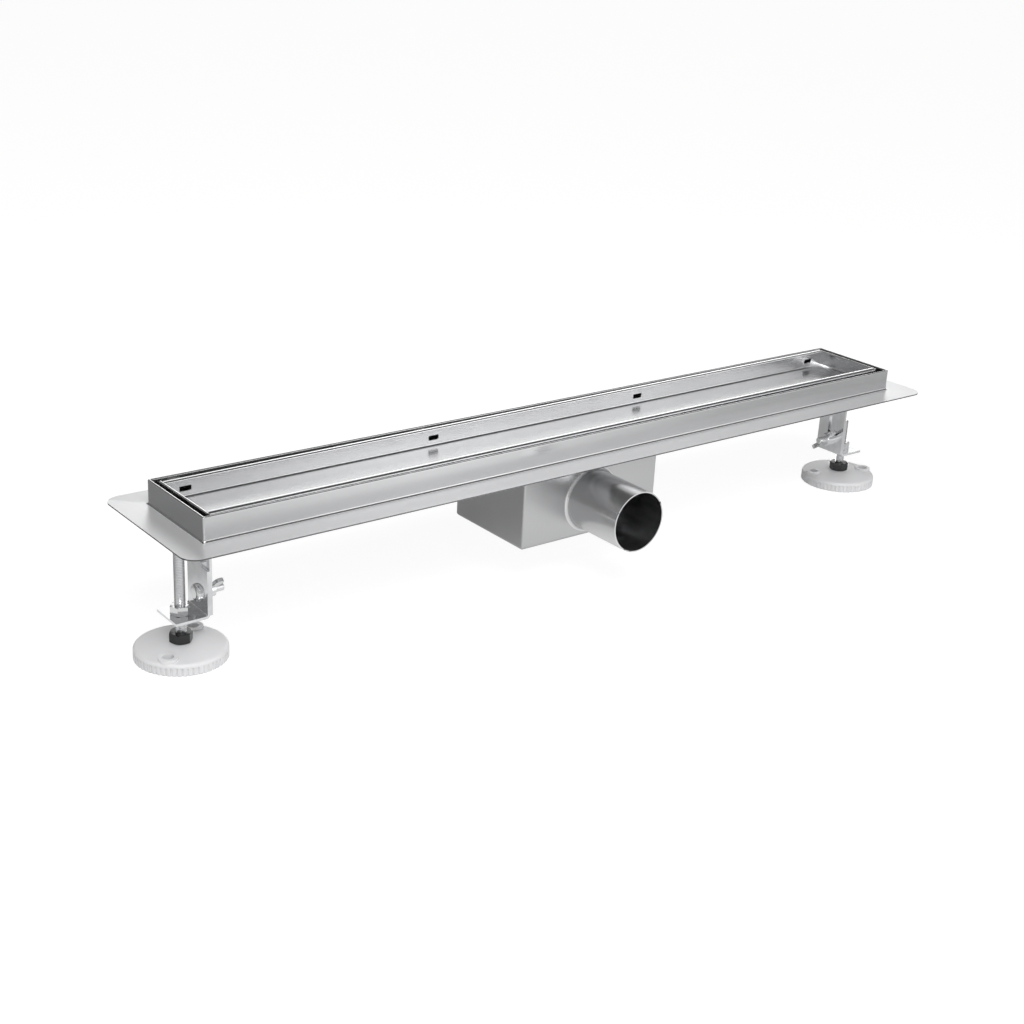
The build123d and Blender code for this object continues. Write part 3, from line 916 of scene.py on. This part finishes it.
@dataclass(frozen=True)
class Floor:
    """A pale floor that keeps a faint shadow, shows white and has a pool of light.

    Only polished metal sees the pool, which lies before the channel.
    """

    reach: float = 30.0
    tone: float = 0.86
    roughness: float = 0.9
    sheen: float = 0.1
    white_share: float = 0.75          # of what the camera sees, the rest keeps the shadow
    white_strength: float = 1.2
    metal_share: float = 0.6           # of what polished metal sees that is the pool
    pool_peak: float = 1.65
    left: Fade = Fade(-0.3, 0.0, 0.95)         # along X, from this level up to the peak
    right: Fade = Fade(0.1, 0.48, 0.6)         # along X, from the peak down to this level
    back: Fade = Fade(-0.2, 0.12, 0.3)         # along Y, to this share of the level
    far: Fade = Fade(0.8, 1.5, 1.3)            # from the middle outwards, up to this level
    legs: Fade = Fade(0.09, 0.15, 0.9)         # from a leg outwards, from this level

    def from_leg(self, board: MaterialBoard) -> Socket:
        """Distance on the floor from the nearer leg.

        Args:
            board: The floor's material.

        Returns:
            The distance in metres.
        """
        low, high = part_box("right_foot_disc")
        folded = board.reckon("ABSOLUTE", board.coordinates).outputs["Vector"]
        leg = ((low[0] + high[0]) / 2, 0.0, 0.0)
        return board.reckon("DISTANCE", folded, leg).outputs["Value"]

    def pool(self, board: MaterialBoard) -> Socket:
        """How bright the floor looks in polished metal.

        Args:
            board: The floor's material.

        Returns:
            The brightness.
        """
        place = board.parts(board.coordinates)
        rising = board.ranged(place["X"], self.left.level, self.pool_peak, self.left.start,
                              self.left.end)
        falling = board.ranged(place["X"], self.pool_peak, self.right.level, self.right.start,
                               self.right.end)
        behind = board.ranged(place["Y"], 1.0, self.back.level, self.back.start, self.back.end)
        reach = board.reckon("LENGTH", board.coordinates).outputs["Value"]
        far = board.ranged(reach, 0.0, self.far.level, self.far.start, self.far.end)
        legs = board.ranged(self.from_leg(board), self.legs.level, 0.0, self.legs.start,
                            self.legs.end)
        near = board.pair("MULTIPLY", board.pair("MINIMUM", rising, falling), behind)
        return board.pair("MAXIMUM", board.pair("MAXIMUM", near, far), legs)

    def finish(self) -> bpy.types.Material:
        """Make the floor's material.

        Returns:
            The finished material.
        """
        board = MaterialBoard("pale_floor")
        board.setting("Base Color", (self.tone, self.tone, self.tone, 1.0))
        board.setting("Roughness", self.roughness)
        board.setting("Specular IOR Level", self.sheen)
        rays = board.node("ShaderNodeLightPath").outputs
        metal = board.picked(rays["Is Glossy Ray"], 0.0, self.metal_share)
        camera = board.picked(rays["Is Camera Ray"], 0.0, self.white_share)
        clear = board.picked(rays["Is Transmission Ray"], 0.0, self.white_share)
        strength = board.node("ShaderNodeMix")
        strength.inputs["A"].default_value = self.white_strength
        board.join(rays["Is Glossy Ray"], strength.inputs["Factor"])
        board.join(self.pool(board), strength.inputs["B"])
        white = board.node("ShaderNodeEmission")
        board.join(strength.outputs["Result"], white.inputs["Strength"])
        mix = board.node("ShaderNodeMixShader")
        board.join(board.pair("MAXIMUM", board.pair("MAXIMUM", metal, camera), clear),
                   mix.inputs["Fac"])
        board.join(board.shader.outputs["BSDF"], mix.inputs[1])
        board.join(white.outputs["Emission"], mix.inputs[2])
        board.join(mix.outputs["Shader"], board.output.inputs["Surface"])
        return board.material

    def lay(self) -> None:
        """Lay the floor."""
        form = bmesh.new()
        bmesh.ops.create_grid(form, x_segments=1, y_segments=1, size=self.reach)
        mesh = bpy.data.meshes.new("floor")
        form.to_mesh(mesh)
        form.free()
        mesh.materials.append(self.finish())
        floor = bpy.data.objects.new("floor", mesh)
        bpy.context.scene.collection.objects.link(floor)


@dataclass(frozen=True)
class Softbox:
    """A rectangular lamp that faces one point, in metres and watts."""

    name: str = "key_lamp"
    place: Triple = (-0.7, -1.3, 1.9)
    target: Triple = (0.0, 0.0, 0.08)
    width: float = 1.4
    height: float = 1.0
    power: float = 37.0

    def hang(self) -> None:
        """Add the lamp."""
        lamp = bpy.data.lights.new(self.name, "AREA")
        lamp.shape = "RECTANGLE"
        lamp.size = self.width
        lamp.size_y = self.height
        lamp.energy = self.power
        holder = bpy.data.objects.new(self.name, lamp)
        holder.location = self.place
        aim = Vector(self.target) - Vector(self.place)
        holder.rotation_euler = aim.to_track_quat("-Z", "Y").to_euler()
        bpy.context.scene.collection.objects.link(holder)


@dataclass(frozen=True)
class Studio:
    """Everything round the object."""

    viewpoint: Viewpoint = Viewpoint()
    sky: Sky = Sky()
    floor: Floor = Floor()
    lamp: Softbox = Softbox()

    def open(self) -> None:
        """Set up the camera, the sky, the floor and the lamp."""
        self.viewpoint.set()
        self.sky.hang()
        self.floor.lay()
        self.lamp.hang()
        bpy.context.scene.view_settings.view_transform = "Standard"
        LOG.info("studio ready with %d panels and %s", len(self.sky.wings), self.lamp.name)


@dataclass(frozen=True)
class ThreadForm:
    """A metric screw thread, in metres."""

    diameter: float
    pitch: float
    depth_share: float = 0.6134        # of the pitch
    flank_share: float = 0.3125        # of the pitch that each flank takes
    crest_share: float = 0.125         # of the pitch that is flat at the crest
    tip_inset: float = 0.2 * MM        # how far within the core each end's bevel starts
    lead_turns: int = 2                # of thread below the shank, cut off again
    spare_turns: int = 3               # more than its length needs
    steps: int = 24                    # facets in a turn

    @property
    def crest(self) -> float:
        """Radius at the crests."""
        return self.diameter / 2

    @property
    def core(self) -> float:
        """Radius at the roots."""
        return self.crest - self.depth_share * self.pitch

    def winding(self, length: float) -> bmesh.types.BMesh:
        """Wind the thread's outline along the axis, past both ends of the shank.

        Args:
            length: The shank's height along +Z.

        Returns:
            The open winding as a new bmesh.
        """
        form = bmesh.new()
        crest_end = self.flank_share + self.crest_share
        outline = ((self.core, 0.0), (self.crest, self.flank_share), (self.crest, crest_end),
                   (self.core, crest_end + self.flank_share), (self.core, 1.0))
        points = [form.verts.new((radius, 0.0, (share - self.lead_turns) * self.pitch))
                  for radius, share in outline]
        edges = [form.edges.new(pair) for pair in zip(points, points[1:])]
        turns = ceil(length / self.pitch) + self.spare_turns
        bmesh.ops.spin(form, geom=points + edges, cent=(0, 0, 0), axis=(0, 0, 1),
                       dvec=(0, 0, self.pitch / self.steps), angle=2 * pi * turns,
                       steps=self.steps * turns)
        bmesh.ops.remove_doubles(form, verts=form.verts[:], dist=WELD)
        return form

    def shank(self, length: float, chamfer: float) -> bmesh.types.BMesh:
        """A closed threaded shank that stands on the origin.

        Args:
            length: Its height along +Z.
            chamfer: Height of the bevel at each end.

        Returns:
            The shank as a new bmesh.
        """
        form = self.winding(length)
        for height, facing in ((0.0, -1), (length, 1)):
            bmesh.ops.bisect_plane(form, geom=form.verts[:] + form.edges[:] + form.faces[:],
                                   plane_co=(0, 0, height), plane_no=(0, 0, facing),
                                   clear_outer=True)
        tip = self.core - self.tip_inset
        for vert in form.verts:
            inward = min(vert.co.z, length - vert.co.z)
            limit = tip + inward / chamfer * (self.crest - tip)
            radius = vert.co.xy.length
            if inward < chamfer and radius > limit:
                vert.co.xy *= limit / radius
        rims = [edge for edge in form.edges if edge.is_boundary]
        bmesh.ops.edgeloop_fill(form, edges=rims)
        bmesh.ops.recalc_face_normals(form, faces=form.faces[:])
        return form


@dataclass(frozen=True)
class Channel:
    """The flanged frame, the trough under it, and the tile tray that lies in it."""

    frame_nodes: tuple[str, ...] = ("flanged_frame", "trough_pan")
    tray_node: str = "tile_tray"
    spacer_node: str = "tray_spacers"

    def dress(self, workshop: Workshop) -> None:
        """Give the channel its finishes.

        Args:
            workshop: Where the finishes are.
        """
        for node in self.frame_nodes:
            workshop.dress(node, workshop.sheet)
        workshop.dress(self.tray_node, workshop.tray)
        workshop.dress(self.spacer_node, workshop.rubber)


@dataclass(frozen=True)
class Trap:
    """The trap box with its outlet, and the insert, cup, seal and strainer in it."""

    box_node: str = "trap_box"
    pipe_node: str = "outlet_pipe"
    moulded_nodes: tuple[str, ...] = ("trap_insert", "trap_cup")
    seal_node: str = "trap_seal"
    strainer_node: str = "hair_strainer"

    def dress(self, workshop: Workshop) -> None:
        """Give the trap its finishes.

        Args:
            workshop: Where the finishes are.
        """
        workshop.dress(self.box_node, workshop.box)
        workshop.dress(self.pipe_node, workshop.pipe)
        for node in self.moulded_nodes:
            workshop.dress(node, workshop.trap)
        workshop.dress(self.seal_node, workshop.rubber)
        workshop.dress(self.strainer_node, workshop.sheet)


@dataclass(frozen=True)
class Leg:
    """One clamped, screw-adjusted leg."""

    side: Side
    rod_thread: ThreadForm = ThreadForm(8.0 * MM, 1.25 * MM)
    rod_chamfer: float = 0.7 * MM

    def name(self, part: str) -> str:
        """The part's name on this side."""
        return f"{self.side.value}_{part}"

    def rod(self, workshop: Workshop) -> None:
        """Model the threaded rod that carries the leg.

        Args:
            workshop: Where the piece is made.
        """
        low, high = (Vector(corner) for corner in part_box(self.name("threaded_rod")))
        form = self.rod_thread.shank(high.z - low.z, self.rod_chamfer)
        middle = (low + high) / 2
        bmesh.ops.translate(form, verts=form.verts[:], vec=(middle.x, middle.y, low.z))
        workshop.add(form, self.name("rod_thread"), self.name("rod"), "zinc_hardware",
                     workshop.hardware, self.name("threaded_rod"))

    def dress(self, workshop: Workshop) -> None:
        """Dress the leg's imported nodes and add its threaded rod.

        Args:
            workshop: Where the finishes are.
        """
        for part in ("hanger", "leg_bracket"):
            workshop.dress(self.name(part), workshop.strip)
        for part in ("clamp_bolt", "clamp_washer", "wing_nut", "bracket_nut"):
            workshop.dress(self.name(part), workshop.hardware)
        # painted dark reflection on the chromed foot nut
        workshop.dress(self.name("foot_nut"), workshop.hardware_painted_dark_reflection)
        workshop.dress(self.name("foot_disc"), workshop.foot)
        self.rod(workshop)


def main() -> None:
    """Build the studio and the drain."""
    logging.basicConfig(level=logging.INFO, format="%(name)s: %(message)s")
    Studio().open()
    workshop = Workshop()
    Channel().dress(workshop)
    Trap().dress(workshop)
    for side in Side:
        Leg(side).dress(workshop)


if __name__ == "__main__":
    main()
